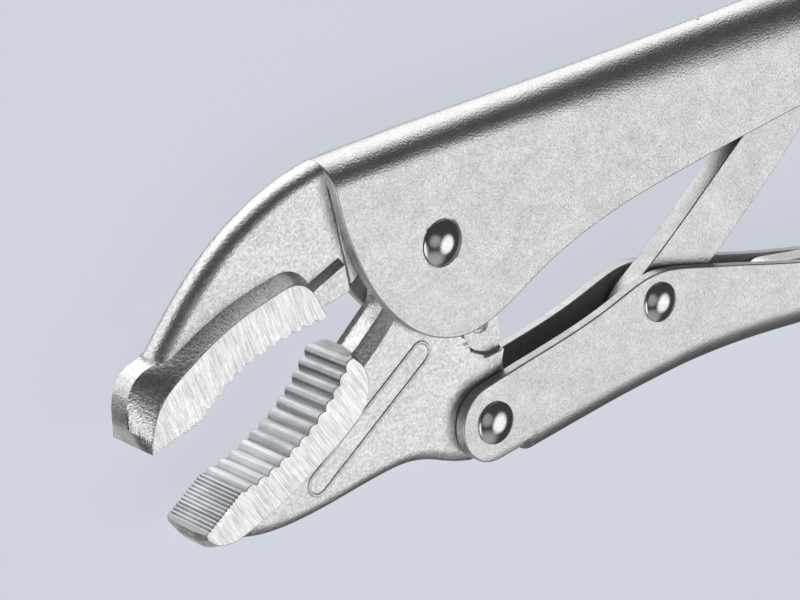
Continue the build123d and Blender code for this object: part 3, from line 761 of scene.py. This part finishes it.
def block(name, edge, tops, foot, foot2, mats, n_edge):
    """Toothed block: flat flanks, sloping shoulders down to a wider foot, softened flank edges."""
    JOIN = 2.2
    upper, low, mid = edge + tops, edge + foot, edge + foot2
    soft = 0.16
    lv = []
    for k in range(4):
        a = radians(30 * k)
        lv.append((BLOCK_T - soft + soft * sin(a), shrunk(upper, [(0.10 if i < n_edge else soft) * (1 - cos(a)) for i in range(len(upper))])))
    # shoulder between the flank and the foot, slightly hollow at its foot
    sh_lv = []
    for f, s_ in ((0.0, 0.0), (0.10, 0.035), (0.22, 0.12), (0.5, 0.40), (0.9, 0.93), (1.0, 1.0)):
        z = JOIN + (BLOCK_T - soft - JOIN) * f
        sh_lv.append((z, [(p[0] + (q[0] - p[0]) * (s_ * 0.35 + f * 0.65), p[1] + (q[1] - p[1]) * (s_ * 0.35 + f * 0.65)) for p, q in zip(low, upper)]))
    half = sh_lv[:-1] + lv
    levels = [(-z, p) for z, p in reversed(half)] + half
    V, F, M = levels_mesh(levels, 1, 0, lambda k, i: 2 if i < n_edge or i == len(upper) - 1 else 0)
    return V, F, M


top_line = spline([(-18.95, 22.35), (-24, 21.9), (-28, 21.2), (-33, 19.75), (-38, 17.85), (-43, 15.3), (-48, 12.1), (-53, 8.2), (-58, 3.9)], 10)
web_pts = top_line + [(-57.5, 0.8), (-45, 2.5), (-30, 2.5), (-27.6, -0.6), (-18.95, -0.2)]
inset = [2.4] * (len(top_line) - 1) + [1.2] + [0] * 5
V, F, M = levels_mesh(forged(web_pts, inset, JAW_T, 2.5, 10), cells=2.5)
put(make("upper_jaw_web", V, F, [M_FORGE], M, 30), "fixed_handle", "plated_forging", "upper_jaw")

u_coarse = teeth([(-26.3, -2.2), (-30, -1.95), (-35, -1.95), (-40, -2.45), (-45, -3.5), (-50, -5.7), (-54.6, -8.5)], 12, 0.7, -1, COARSE)
u_fine = teeth([(-55.0, -8.25), (-64.2, -9.5)], 13, 0.3, -1, FINE)
ub_edge = u_coarse + u_fine
ub_top = [(-64.35, -9.45), (-64.0, -7.8), (-62.3, -4.2), (-60.0, -1.6), (-55, 1.1), (-50, 3.1), (-45, 4.6), (-40, 5.6), (-35, 6.15),
          (-31.2, 6.15), (-29.4, 5.3), (-28, 3.6), (-27.1, 1.2), (-26.5, -1.0)]
ub_foot = [(-64.5, -9.3), (-65.5, -5.2), (-64.3, -0.9), (-62.0, 1.6), (-55.9, 3.4), (-50.6, 5.0), (-45.4, 6.5), (-40.2, 7.5), (-34.9, 8.05),
           (-30.6, 8.0), (-28.3, 6.8), (-26.7, 4.6), (-25.9, 1.6), (-25.6, -1.2)]
mid_foot = [(-64.5, -9.3), (-65.7, -5.2), (-64.5, -0.6), (-62.0, 2.3)] + ub_foot[4:]


def denser(tops, foot, n=4):
    """Smooth both outlines the same way, corner for corner, keeping their first two and last corners."""
    def sm(p):
        return p[:1] + spline(p[1:], n)
    return sm(tops), sm(foot)


t2, f2 = denser(ub_top, mid_foot)
V, F, M = block("upper_block", ub_edge, t2, f2, f2, None, len(ub_edge))
put(make("upper_jaw_block", V, F, [M_FORGE, M_GROUND_U, M_TEETH], M, 31), "fixed_handle", "plated_forging")

rib_wide = [(-27, -0.95), (-19.7, -0.4), (-19.7, 5.6), (-27, 3.8)]
rib_top = [(-27, -0.95), (-19.7, -0.4), (-19.7, 4.6), (-27, 2.8)]
V, F, M = levels_mesh([(-4.4, shrunk(rib_top, 0.3)), (-4.3, shrunk(rib_top, 0.09)), (-4.1, rib_top), (-2.6, rib_wide), (2.6, rib_wide),
                       (4.1, rib_top), (4.3, shrunk(rib_top, 0.09)), (4.4, shrunk(rib_top, 0.3))])
put(make("upper_jaw_rib", V, F, [M_FORGE], M, 30), "fixed_handle", "plated_forging")
put(prism("upper_jaw_tang", [(-21, 15.0), (-21, 1.0), (-17, 1.6), (-16, 2.2), (-16, 15.0)], 2.4, [M_FORGE], 0.2), "fixed_handle", "plated_forging")
root = [(-18.5, 16.6), (-18.5, 0.1), (-15.5, 1.2), (-12.2, 3.8), (-9.6, 5.2), (-7.5, 7.3), (-4, 9.8), (0, 10.6), (9, 10.9), (11.5, 12.6), (-4, 14.6)]
put(prism("upper_jaw_root", root, CHEEK_IN - 0.05, [M_FORGE], 0.3), "fixed_handle", "plated_forging")

back = spline([(-53.0, -32.4), (-47.3, -34.9), (-42.3, -36.1), (-36, -36.7), (-29, -36.8), (-19.3, -36.8), (-14.3, -37.3),
               (-9.3, -39.1), (-4.6, -41.8), (-1.0, -43.4)], 8)
tail = [(10.35, -33.0), (9.2, -29.5), (9.3, -27.4), (10.2, -25.6), (10.9, -22.5), (11.0, -19.5), (10.8, -14.5), (10.0, -8)]
front = [(-10.3, -4.6), (-12.0, -7.7), (-14.2, -9.06), (-16.5, -10.48), (-18.7, -11.84), (-21.0, -13.26), (-23.6, -14.9)]
l_web = [(-50, -29.5), (-52.5, -31.4)] + back + arc(A, 7.0, 242, 345, 16) + spline(tail, 4) + arc(O, 9.0, -25, 185, 36) + front + \
    [(-27, -18), (-35, -23), (-45, -26.5)]
# straight chamfers along the throat, between the pivot and the toothed block
soft_of = {front[0]: 1.0, front[1]: 2.5, front[2]: 2.7, front[3]: 2.85, front[4]: 2.8, front[5]: 2.8, front[6]: 2.8}
bk = set(back)
ins_ = [2.5 if p in bk else soft_of.get(p, 0.0) for p in l_web]
V, F, M = levels_mesh(forged(l_web, ins_, JAW_T, 2.0, 9, set(soft_of)), cells=2.5)
ljaw = make("lower_jaw_web", V, F, [M_FORGE], M, 30)
cuts = [lathe("p%d" % s, (9.0, -19.1, 0), (0, 0, s), [(1.4, 6.2), (1.52, 6.45), (1.75, 6.62), (2.1, 6.7), (4.5, 6.9)], [M_FORGE], 72) for s in (1, -1)]
cuts.append(lathe("eye", (7.2, -19.6, 0), (0, 0, 1), [(-4, 2.4), (-1.55, 2.25), (-1.3, 1.9), (1.3, 1.9), (1.55, 2.25), (4, 2.4)], [M_FORGE], 40))
cut(ljaw, *cuts)
smooth(ljaw, 30)
put(ljaw, "lower_jaw", "plated_forging", "lower_jaw")

l_coarse = teeth([(-23.7, -10.7), (-27, -13.9), (-31, -17.1), (-35, -19.4), (-40, -21.4), (-45, -22.75), (-49.4, -23.35)], 12, 0.7, 1, COARSE)
l_fine = teeth([(-50.0, -23.2), (-58.3, -27.3)], 13, 0.3, 1, FINE)
lb_edge = l_coarse + l_fine
lb_low = [(-58.5, -27.5), (-58.4, -28.6), (-57.2, -30.0), (-55.0, -31.1), (-52, -31.25), (-48, -30.5), (-43, -29.25), (-38, -27.7), (-33, -25.9),
          (-28, -23.8), (-25, -22.3), (-22.6, -20.4), (-21.4, -18.2), (-21.0, -15.6), (-21.7, -12.9), (-23.0, -11.2)]
lb_foot = [(-58.7, -27.7), (-58.8, -29.3), (-57.6, -31.2), (-54.6, -32.5), (-51.6, -32.4), (-47.6, -31.6), (-42.6, -30.3), (-37.5, -28.8), (-32.5, -27.0),
           (-27.4, -24.9), (-24.2, -23.4), (-21.4, -21.2), (-20.1, -18.5), (-19.7, -15.5), (-20.6, -12.3), (-22.3, -10.1)]
t2, f2 = denser(lb_low, lb_foot)
V, F, M = block("lower_block", lb_edge, t2, f2, f2, None, len(lb_edge))
put(make("lower_jaw_block", V, F, [M_FORGE, M_GROUND_L, M_TEETH], M, 31), "lower_jaw", "plated_forging")

# plain raised rim of an empty oval field on both flanks
c0, c1, fr = (-33.5, -31.3), (-7.6, -18.4), 2.25
ang = degrees(atan2(c1[1] - c0[1], c1[0] - c0[0]))
for s in (1, -1):
    V, F, M, loops = [], [], [], []
    for r, z in ((fr + 0.10, JAW_T - 0.05), (fr + 0.05, JAW_T + 0.05), (fr - 0.03, JAW_T + 0.15), (fr - 0.20, JAW_T + 0.18), (fr - 0.34, JAW_T + 0.18),
                 (fr - 0.51, JAW_T + 0.15), (fr - 0.59, JAW_T + 0.05), (fr - 0.64, JAW_T - 0.05)):
        pts = arc(c1, r, ang - 90, ang + 90, 24) + arc(c0, r, ang + 90, ang + 270, 24)
        loops.append([(x, y, z * s) for x, y in pts])
    n = len(loops[0])
    for lp in loops:
        V += lp
    for k in range(len(loops) - 1):
        for i in range(n):
            F.append((k * n + i, k * n + (i + 1) % n, (k + 1) * n + (i + 1) % n, (k + 1) * n + i))
            # the rim's side walls take the darker inner material: painted shade, drawn as dark lines along both sides
            # of the rim
            M.append(0 if 2 <= k <= 4 else 1)
    put(make("lower_jaw_rim_%s" % ("near" if s > 0 else "far"), V, F, [M_FORGE, M_SHADED_INNER], M, 60, False), "lower_jaw", "plated_forging")

# ------------------------------------------------------------ link and lever
ld = (cos(radians(LINK_DIR)), sin(radians(LINK_DIR)))


def on_link(s, t):
    return (B[0] + ld[0] * s - ld[1] * t, B[1] + ld[1] * s + ld[0] * t)


bot = spline([on_link(LINK_LEN - 3, -HEEL_R + 0.05), on_link(58, -5.2), on_link(44, -6.6), on_link(28, -7.4), on_link(12, -7.2), on_link(6.5, -6.6)], 8)
eye = arc(B, 6.2, LINK_DIR + 250, LINK_DIR + 135, 28)
side_top = spline([on_link(-1.2, 4.75), on_link(3, 4.45), on_link(30, 4.35), on_link(55, 4.3), on_link(LINK_LEN - 2, HEEL_R - 0.1)], 6)
link_pts = bot[1:] + eye[1:] + side_top + arc(S, HEEL_R, LINK_DIR + 80, LINK_DIR - 80, 26)
put(prism("toggle_link_plate", link_pts, LINK_T, [M_LINK, M_EDGE], 0.22, 3, 1), "toggle_link", "plated_link", "toggle_link")

lev_top = spline([(72.6, -39.5), (74.6, -38.5), (78, -38.9), (84, -40.7), (92, -43.0), (100, -45.2), (112, -47.6), (124, -50.2), (136, -53.2),
                  (143.5, -54.2), (147.5, -53.6)], 6)
lev_bot = spline([(148.4, -55.6), (143.5, -57.4), (136, -57.6), (124, -56.3), (112, -55.2), (104, -54.9), (97, -54.0), (90, -51.0),
                  (82, -46.0), (76, -42.4), (73.2, -41.0)], 6)
lever = prism("release_lever_plate", lev_top + lev_bot, 2.6, [M_SHEET, M_SHEET], 0.55, 5)
hollow = prism("c5", [(x + 0.2, y - 1.5) for x, y in lev_top if 78 < x < 146] + [(146, -70), (80, -70)], 1.2, [M_SHADED_INNER], 0.3, 3)
cut(lever, hollow)
smooth(lever, 35)
put(lever, "release_lever", "plated_sheet", "release_lever")

# ------------------------------------------------------------------- screw
su = (cos(radians(SCREW_DIR)), sin(radians(SCREW_DIR)))
d_tip = HEEL_R + TIP_GAP
d_knob0 = (184.4 - S[0]) / su[0] - KNOB_L
d_a, d_b = d_tip + 1.2, d_knob0 - 0.3
PITCH = 1.25
prof = [(d_tip, 0.5), (d_tip + 0.05, SCREW_R - 1.25), (d_tip + 0.25, SCREW_R - 1.0), (d_a, SCREW_R - 0.45)]
nrow = int((d_b - d_a) / 0.156)
prof += [(d_a + (d_b - d_a) * k / nrow, SCREW_R - 0.36) for k in range(1, nrow)]
prof += [(d_b - 0.02, SCREW_R - 0.4), (d_b, SCREW_SHANK_R), (d_knob0 + 11.8, SCREW_SHANK_R), (d_knob0 + 12.0, SCREW_SHANK_R - 0.3)]


def thread(d, a):
    if d <= d_a + 0.01 or d >= d_b - 0.4:
        return 1.0
    f = (d / PITCH - a / (2 * pi)) % 1.0
    tri = 1 - 2 * abs(f - 0.5)
    fade = min(1.0, (d - d_a) / 1.5, (d_b - 0.4 - d) / 1.0)
    return 1.0 + fade * (min(1.0, max(0.0, (tri - 0.12) / 0.66)) - 0.5) * 0.68 / (SCREW_R - 0.36)


so = (S[0], S[1], 0)
put(lathe("screw_spindle_thread", so, (su[0], su[1], 0), prof, [M_SCREW], 40, 50, wob=thread), "screw_spindle", "plated_screw", "screw_spindle")

K0, K1 = d_knob0, d_knob0 + KNOB_L
kp = [(K0, SCREW_SHANK_R + 0.08), (K0 + 0.02, KNOB_R - 1.9), (K0 + 0.25, KNOB_R - 1.55), (K0 + 0.8, KNOB_R - 0.95), (K0 + 1.5, KNOB_R - 0.75), (K0 + 1.9, KNOB_R - 0.7), (K0 + 2.2, KNOB_R - 0.3)]
kp += [(K0 + 2.4 + 0.35 * k, KNOB_R - 0.02) for k in range(int((KNOB_L - 4.6) / 0.35) + 1)]
kp += [(K1 - 2.0, KNOB_R - 0.3), (K1 - 1.8, KNOB_R - 0.5), (K1 - 1.3, KNOB_R - 0.5), (K1 - 0.7, KNOB_R - 0.75), (K1 - 0.25, KNOB_R - 1.2),
       (K1 - 0.02, KNOB_R - 1.7), (K1 - 0.02, KNOB_R - 2.6), (K1 - 0.35, KNOB_R - 3.0), (K1 - 0.45, 1.2), (K1 - 0.45, 0.2)]


def knurl(d, a):
    f = min(1.0, max(0.0, (d - K0 - 2.0) / 0.7), max(0.0, (K1 - 1.9 - d) / 0.7))
    u1, u2 = 24 * a / (2 * pi) + (d - K0) / 1.9, 24 * a / (2 * pi) - (d - K0) / 1.9
    g = min(abs((u1 % 1) - 0.5), abs((u2 % 1) - 0.5)) * 2
    return 1.0 - f * 0.50 * (1 - min(1.0, g * 1.7)) / KNOB_R


put(lathe("screw_knob_knurled", so, (su[0], su[1], 0), kp, [M_SCREW], 192, 50, wob=knurl), "screw_knob", "plated_screw", "screw_knob")

# ------------------------------------------------------------------- spring
SPR_R, WIRE, SIDE = 2.7, 1.0, 2.05
s0 = Vector((7.2, -19.6, 0))
s1 = Vector((SLOT_X, interp(BODY, SLOT_X)[0] - SHEET - 2.2, 0))
sd = (s1 - s0).normalized()
c_0, c_1 = s0 + sd * 8.0, s1 - sd * 4.0
L = (c_1 - c_0).length
zv = Vector((0, 0, 1))
yv = zv.cross(sd)
rr = SPR_R - WIRE / 2 - 0.02
turns = L / (WIRE * 1.03)
path = []
# front hook: through the eye of the lug, back over one side, then into the first coil
path += [s0 + sd * 0.9 + zv * z for z in (-2.0, -1.2, -0.4, 0.4, 1.2)]
path += [s0 + sd * 1.5 + zv * 1.95, s0 + sd * 3.2 + zv * SIDE, s0 + sd * 5.0 + zv * 1.9, s0 + sd * 6.6 + zv * 1.9 + yv * 0.5]
n = int(turns * 18)
for k in range(n + 1):
    a = pi / 2 - 2 * pi * turns * k / n
    path.append(c_0 + sd * (L * k / n) + (yv * cos(a) + zv * sin(a)) * rr)
last = path[-1]
path += [c_1 + sd * 0.9 + (last - c_1) * 0.45, c_1 + sd * 1.8, s1 - sd * 1.0, s1 + Vector((0.1, 0.3, 0)), s1 + Vector((0.15, 1.6, 0)), s1 + Vector((0.0, 3.0, 0)), s1 + Vector((-0.1, SHEET + 2.2 + 0.1, 0))]
spring = tube("tension_spring_coil", path, WIRE / 2 - 0.02, [M_WIRE], 8)
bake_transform(spring)
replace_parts(spring, "tension_spring")

# ------------------------------------------------------------------- rivets


def rivet(name, c, head_r, z_face, shank_r, dome, body, rim=0.35):
    """Riveted pin: two low domed heads with a small rolled rim."""
    h = dome - rim
    ball = (head_r ** 2 + h ** 2) / (2 * h)
    half = [(0.0, shank_r), (z_face - 0.02, shank_r), (z_face - 0.01, head_r - 0.12), (z_face + 0.10, head_r - 0.02), (z_face + rim - 0.08, head_r)]
    a1 = asin(head_r / ball)
    for k in range(0, 15):
        a = a1 * (1 - k / 15.0) * 0.985
        r = ball * sin(a)
        z = z_face + dome - ball + ball * cos(a)
        # the crown is struck a little flat
        flat = max(0.0, 1 - r / (head_r * 0.55))
        half.append((z - 0.07 * flat * flat, r))
    half.append((z_face + dome - 0.075, 0.04))
    prof = [(-d, r) for d, r in reversed(half)] + half[1:]
    return put(lathe(name, (c[0], c[1], 0), (0, 0, 1), prof, [M_RIVET], 72, 40), body, "polished_rivet")


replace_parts(rivet("pivot_rivet_head", O, 4.1, CHEEK - 0.25, 3.2, 1.75, "fixed_handle"), "pivot_rivet")
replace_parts(rivet("jaw_rivet_head", A, 3.9, CHEEK, 3.2, 1.45, "lower_handle"), "jaw_rivet")
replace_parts(rivet("link_rivet_head", B, 3.75, CHEEK, 3.2, 1.45, "lower_handle"), "link_rivet")
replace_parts(rivet("lever_pin_head", P, 3.2, interp(LOW, P[0] + 3.2)[2] + 0.02, 2.2, 0.95, "lower_handle"), "lever_pin")

# the screw bush keeps its CAD shape, with softened edges
for nm, mt_ in (("screw_bush", M_SCREW),):
    ob = NODES[nm]
    ob.data.materials.clear()
    ob.data.materials.append(mt_)
    wl = ob.modifiers.new("weld", "WELD")
    wl.merge_threshold = 1e-6
    bv = ob.modifiers.new("bevel", "BEVEL")
    bv.width = 0.00025
    bv.segments = 3
    bv.limit_method = "ANGLE"
    bv.angle_limit = radians(40)
    bv.harden_normals = True
for nm, ob in NODES.items():
    if nm != "screw_bush":
        ob.data.materials.clear()
        ob.data.materials.append(M_FORGE)

# ------------------------------------------------------------------ camera
cam_d = bpy.data.cameras.new("camera")
cam = bpy.data.objects.new("camera", cam_d)
sc.collection.objects.link(cam)
sc.camera = cam
cam_d.sensor_width = 36.0
cam_d.lens = 135.0
cam_d.clip_start = 0.01
cam_d.clip_end = 50.0
R = ((0.758326305, -0.189071983, 0.623853348), (-0.404876143, -0.886653737, 0.22342887), (0.510897763, -0.422015327, -0.748923587))
m4 = Matrix(((R[0][0], -R[1][0], -R[2][0], 0), (R[0][1], -R[1][1], -R[2][1], 0), (R[0][2], -R[1][2], -R[2][2], 0), (0, 0, 0, 1)))
m4.translation = W(-269.292198, 207.481819, 383.920688)
cam.matrix_world = m4

# ------------------------------------------------------- floor, light, world
bpy.ops.mesh.primitive_grid_add(x_subdivisions=8, y_subdivisions=8, size=8, location=(0, 0, -0.0003))
floor = bpy.context.object
floor.name = "floor"
fm, nt, bs = new_mat("floor_paper")
g = noise(nt, 900, 2, 0.5)
nt.links.new(tint(nt, g.outputs["Fac"], (0.205, 0.214, 0.236), (0.215, 0.224, 0.247)), bs.inputs["Base Color"])
bs.inputs["Roughness"].default_value = 0.95
bs.inputs["Specular IOR Level"].default_value = 0.0
bs.inputs["Emission Color"].default_value = (0.86, 0.90, 1.0, 1)
bs.inputs["Emission Strength"].default_value = 0.63
floor.data.materials.append(fm)
floor.visible_glossy = False
floor.visible_diffuse = False

world = bpy.data.worlds.new("studio")
sc.world = world
world.use_nodes = True
wn = world.node_tree
wn.nodes.clear()
wo = wn.nodes.new("ShaderNodeOutputWorld")
bg = wn.nodes.new("ShaderNodeBackground")
wn.links.new(bg.outputs[0], wo.inputs[0])
tc = wn.nodes.new("ShaderNodeTexCoord")
total = None


def lobe(direction, inner, outer, amp):
    """Soft round patch of light in the surroundings, full inside inner degrees and gone at outer degrees."""
    global total
    d = Vector(direction).normalized()
    dp = wn.nodes.new("ShaderNodeVectorMath")
    dp.operation = "DOT_PRODUCT"
    dp.inputs[1].default_value = d
    wn.links.new(tc.outputs["Generated"], dp.inputs[0])
    mr = wn.nodes.new("ShaderNodeMapRange")
    mr.interpolation_type = "SMOOTHSTEP"
    mr.inputs["From Min"].default_value = cos(radians(outer))
    mr.inputs["From Max"].default_value = cos(radians(inner))
    mr.inputs["To Min"].default_value = 0.0
    mr.inputs["To Max"].default_value = amp
    wn.links.new(dp.outputs["Value"], mr.inputs["Value"])
    if total is None:
        total = mr.outputs["Result"]
    else:
        ad = wn.nodes.new("ShaderNodeMath")
        ad.operation = "ADD"
        wn.links.new(total, ad.inputs[0])
        wn.links.new(mr.outputs["Result"], ad.inputs[1])
        total = ad.outputs[0]


lobe((0, 0, 1), 178.0, 180.0, 0.07)                   # faint light from all round
lobe((0.511, -0.400, 0.76), 9, 26, 1.48)               # soft box that the flanks mirror
lobe((0.52, 0.70, -0.50), 26, 46, 1.5)                 # white sweep behind and below, on the fixed handle's side
lobe((-0.42, 0.58, -0.70), 22, 40, 1.1)
lobe((-0.84, -0.25, 0.48), 14, 34, 1.6)                # strip beyond the jaws
lobe((-0.05, 0.0, 1.0), 6, 22, 0.40)                   # overhead box
lobe((-0.20, -0.85, 0.45), 15, 40, 0.45)               # fill over the lower handle's side
lobe((0.10, -0.45, -0.90), 16, 40, 0.6)                # fill from behind, for the far flanks
wn.links.new(total, bg.inputs[1])
bg.inputs[0].default_value = (0.985, 0.99, 1.0, 1)

sc.view_settings.view_transform = "Standard"
